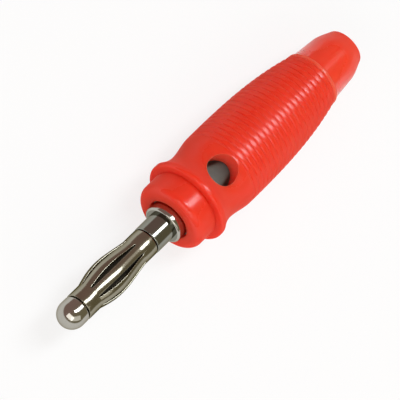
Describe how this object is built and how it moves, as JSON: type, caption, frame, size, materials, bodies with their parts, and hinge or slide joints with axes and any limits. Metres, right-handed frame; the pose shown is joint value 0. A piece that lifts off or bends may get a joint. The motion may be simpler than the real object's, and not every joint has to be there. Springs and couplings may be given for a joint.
{
  "type": "banana plug",
  "caption": "Banana plug with a sprung pin, a cross socket for stacking and a ribbed grip sleeve that pulls back from a screw clamp.",
  "frame": {"origin": "centre of the sleeve's front face, on the plug's axis", "axes": "+X along the plug's axis towards the tip, +Z along the cross socket"},
  "size_m": [0.0565, 0.0118, 0.0118],
  "materials": {
    "nickel_turned": "bright nickel plating on turned brass",
    "nickel_spring": "bright nickel plating on spring sheet",
    "screw_steel": "plain steel",
    "red_sleeve": "glossy soft moulded plastic"
  },
  "bodies": {
    "contact": {"contact_pin": "nickel_turned"},
    "cage": {"spring_cage": "nickel_spring"},
    "screw": {"clamp_screw": "screw_steel"},
    "sleeve": {"grip_sleeve": "red_sleeve"}
  },
  "joints": [
    {"name": "cage_turn", "type": "hinge", "parent": "contact", "child": "cage", "pos_m": [0.0111, 0, 0], "axis": [1, 0, 0], "continuous": true},
    {"name": "screw_clamp", "type": "slide", "parent": "contact", "child": "screw", "axis": [0, 0, -1], "range_m": [0, 0.001]},
    {"name": "sleeve_slide", "type": "slide", "parent": "contact", "child": "sleeve", "axis": [-1, 0, 0], "range_m": [0, 0.026]}
  ]
}
